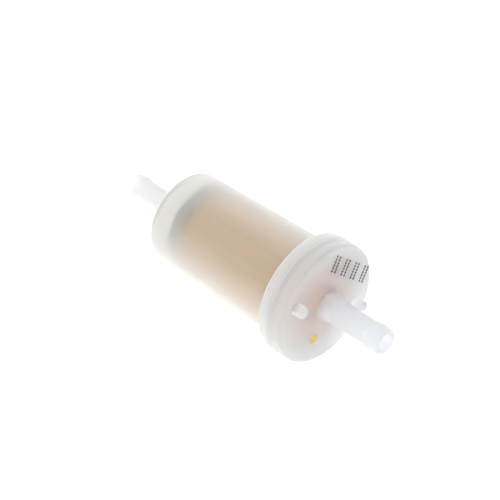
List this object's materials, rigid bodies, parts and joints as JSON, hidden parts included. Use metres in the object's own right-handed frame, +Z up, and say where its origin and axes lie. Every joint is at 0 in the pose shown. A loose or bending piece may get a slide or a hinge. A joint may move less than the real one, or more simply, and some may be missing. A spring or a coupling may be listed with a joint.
{
  "type": "in-line fuel filter",
  "caption": "Welded translucent nylon in-line fuel filter with a star-folded paper element, end caps and a barbed hose nipple at each end.",
  "frame": {"origin": "on the flow axis, midway between the tips of the two hose nipples", "axes": "+X is the direction of flow, from the inlet nipple on the case to the outlet nipple on the cap; +Z is up as it lies with its ink marks uppermost"},
  "size_m": [0.1, 0.0354, 0.0354],
  "materials": {
    "case_nylon": "frosted translucent natural nylon",
    "cap_nylon": "frosted translucent natural nylon",
    "filter_paper": "resin-treated crimped filter paper",
    "seam_glue": "set glue",
    "closed_cap_plastic": "satin moulded plastic",
    "potting": "satin set potting",
    "open_cap_plastic": "satin moulded plastic",
    "yellow_paint": "dried paint",
    "black_ink": "dried ink-jet ink"
  },
  "bodies": {
    "root": {"case": "case_nylon", "cap": "cap_nylon", "pleated_paper": "filter_paper", "paper_seam": "seam_glue", "closed_end_cap": "closed_cap_plastic", "closed_end_adhesive": "potting", "open_end_cap": "open_cap_plastic", "open_end_adhesive": "potting", "inspection_dot": "yellow_paint", "ink_marks": "black_ink"}
  },
  "joints": []
}
